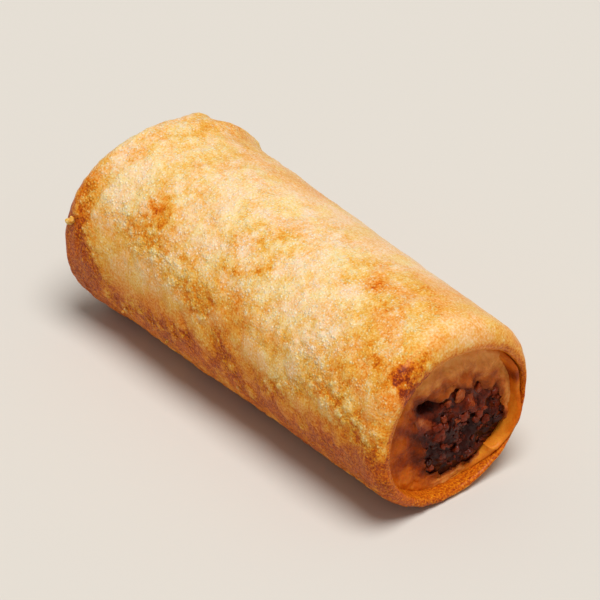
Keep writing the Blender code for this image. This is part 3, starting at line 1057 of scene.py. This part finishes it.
def makeCrumbs():
    # Each crumb is a few lumps, piled up from the skin's nearest point.
    luck = np.random.default_rng(17)
    shape, faces = lumpShape(12, 8)
    shown = slice(skin["outerRows"] + skin["shoulderRows"])
    points = []
    tones = []
    for x, degrees, lumps, size in crumbPlaces:
        away = roundSpot(skinAlong[shown], skinTurn[shown], x, degrees, 1.0, 1.0)
        row, column = np.unravel_index(np.argmin(away), away.shape)
        base, up = skinShape[row, column], skinNormal[row, column]
        for number in range(lumps):
            shift = (luck.random(3) - 0.5) * 1.6 * size
            lift = size * (0.1 + 0.3 * number)
            wide = size * (1.0 - 0.08 * number)
            rough = 1.0 + 0.7 * grain(shape + 5.0 * luck.random(), 1.0, 97.0)
            lump = shape * rough[:, None] * wide * mix(0.6, 0.9, luck.random(3))
            points.append(base + up * lift + shift * (1.0 - 0.5 * abs(up)) + lump)
            tones.append(np.full(len(shape), 0.3 + 0.16 * luck.random()))
    tone = np.concatenate(tones)
    piece = meshFromCopies("batterCrumbs", points, faces,
                           {"brown": tone, "blister": 0.0 * tone + 0.5, "oily": 0.0 * tone + 0.5})
    return place(piece, "wrapper", pastryFinish)


batterCrumbs = makeCrumbs()


def minceHeight(end, spot):
    # The mince's surface at one place, read from the mesh just made.
    target = Vector((foldX(end, spot), spot[0], spot[1])) * mm + Vector(middle)
    start = target + Vector((end["side"] * 0.02, 0.0, 0.0))
    hit, where, normal, face = minceFilling.ray_cast(start, Vector((-end["side"], 0.0, 0.0)))
    return (where.x - middle[0]) / mm if hit else foldX(end, spot)


def makeMinceBits():
    # Loose crumbs of mince and short shreds, half sunk in both faces.
    luck = np.random.default_rng(5)
    shape, faces = lumpShape(14, 9)
    spots = [(nearEnd,) + bit for bit in placedBits]
    for end in (nearEnd, farEnd):
        across, up = end["windowRadii"]
        for number in range(mince["bits"]):
            turn, reach = 2.0 * pi * luck.random(), luck.random() ** 0.6 * 1.02
            y = end["windowCentre"][0] + across * reach * sin(turn)
            z = end["windowCentre"][1] + up * reach * cos(turn)
            size = mix(mince["smallest"], mince["largest"], luck.random() ** 2.0)
            long = size * (1.0 + 1.8 * luck.random() ** 3.0)
            # Darker towards the bottom: painted shade.
            tone = 0.2 + 0.4 * luck.random() ** 1.5 - 0.18 * float(smooth(0.0, -6.0, z))
            spots.append((end, y, z, long, size, tone))
    points = []
    tones = []
    for end, y, z, long, wide, tone in spots:
        tilt = 2.0 * pi * luck.random()
        rough = 1.0 + 1.0 * grain(shape + 3.0 * len(points), 1.1, 95.0)
        rough = rough + 0.28 * grain(shape, 0.45, 0.7 * len(points))
        turned = shape * rough[:, None] * np.array([0.6 * wide, long, wide])
        spun = turned.copy()
        spun[:, 1] = cos(tilt) * turned[:, 1] - sin(tilt) * turned[:, 2]
        spun[:, 2] = sin(tilt) * turned[:, 1] + cos(tilt) * turned[:, 2]
        base = minceHeight(end, np.array([y, z]))
        points.append(spun + np.array([base + end["side"] * 0.1 * wide, y, z]))
        tones.append(np.full(len(shape), tone))
    piece = meshFromCopies("minceBits", points, faces, {"tone": np.concatenate(tones)})
    return place(piece, "filling", meatFinish)


bpy.context.view_layer.update()
minceBits = makeMinceBits()
print("mince bits:", len(minceBits.data.polygons), "faces")

studio = {
    "azimuth": 51.0,
    "elevation": 35.0,
    "lens": 310.0,
    "fill": 0.82,               # share of the picture that the roll's box takes
    "floor": (214, 209, 201),
    "floorHalf": 4.0,           # metres
    "floorGap": 0.0001,
    "room": (255, 249, 240),
    "worldStrength": 0.3,
    "keyStrength": 2.85,
    "keySpread": 31.0,          # degrees across, for soft shadows
    "keyFrom": (0.26, -0.06, 0.96),
}


def makeFloor():
    bm = bmesh.new()
    bmesh.ops.create_grid(bm, x_segments=2, y_segments=2, size=studio["floorHalf"])
    mesh = bpy.data.meshes.new("paleFloor")
    bm.to_mesh(mesh)
    bm.free()
    floor = bpy.data.objects.new("paleFloor", mesh)
    bpy.context.scene.collection.objects.link(floor)
    floor.location.z = cadBox[0][2] - studio["floorGap"]
    finish = newFinish("paleFloor", {
        "Base Color": tint(*studio["floor"]), "Roughness": 0.9, "Specular IOR Level": 0.2})
    mesh.materials.append(finish[0])


def makeLights():
    # A dim warm room and one wide, soft key from above.
    world = bpy.data.worlds.new("paleRoom")
    world.use_nodes = True
    background = world.node_tree.nodes["Background"]
    background.inputs["Color"].default_value = tint(*studio["room"])
    background.inputs["Strength"].default_value = studio["worldStrength"]
    bpy.context.scene.world = world
    data = bpy.data.lights.new("softKey", "SUN")
    data.angle = radians(studio["keySpread"])
    data.energy = studio["keyStrength"]
    lamp = bpy.data.objects.new("softKey", data)
    direction = Vector(studio["keyFrom"]).normalized()
    lamp.location = direction
    lamp.rotation_euler = direction.to_track_quat("Z", "Y").to_euler()
    bpy.context.scene.collection.objects.link(lamp)


def makeCamera():
    # Far off with a long lens, so that the roll's box fills the set share of the width.
    low, high = (Vector(corner) for corner in cadBox)
    centre = (low + high) / 2
    azimuth, elevation = radians(studio["azimuth"]), radians(studio["elevation"])
    back = Vector((sin(azimuth) * cos(elevation), -cos(azimuth) * cos(elevation), sin(elevation)))
    data = bpy.data.cameras.new("camera")
    data.lens = studio["lens"]
    data.dof.use_dof = False
    camera = bpy.data.objects.new("camera", data)
    camera.rotation_euler = back.to_track_quat("Z", "Y").to_euler()
    right = camera.rotation_euler.to_matrix() @ Vector((1, 0, 0))
    span = 2.0 * max(abs((Vector((x, y, z)) - centre).dot(right))
                     for x in (low.x, high.x) for y in (low.y, high.y) for z in (low.z, high.z))
    camera.location = centre + back * (span / studio["fill"] * data.lens / data.sensor_width)
    bpy.context.scene.collection.objects.link(camera)
    bpy.context.scene.camera = camera


makeFloor()
makeLights()
makeCamera()
bpy.context.scene.view_settings.view_transform = "Standard"
print("stage, lights and camera made")

bpy.context.view_layer.update()
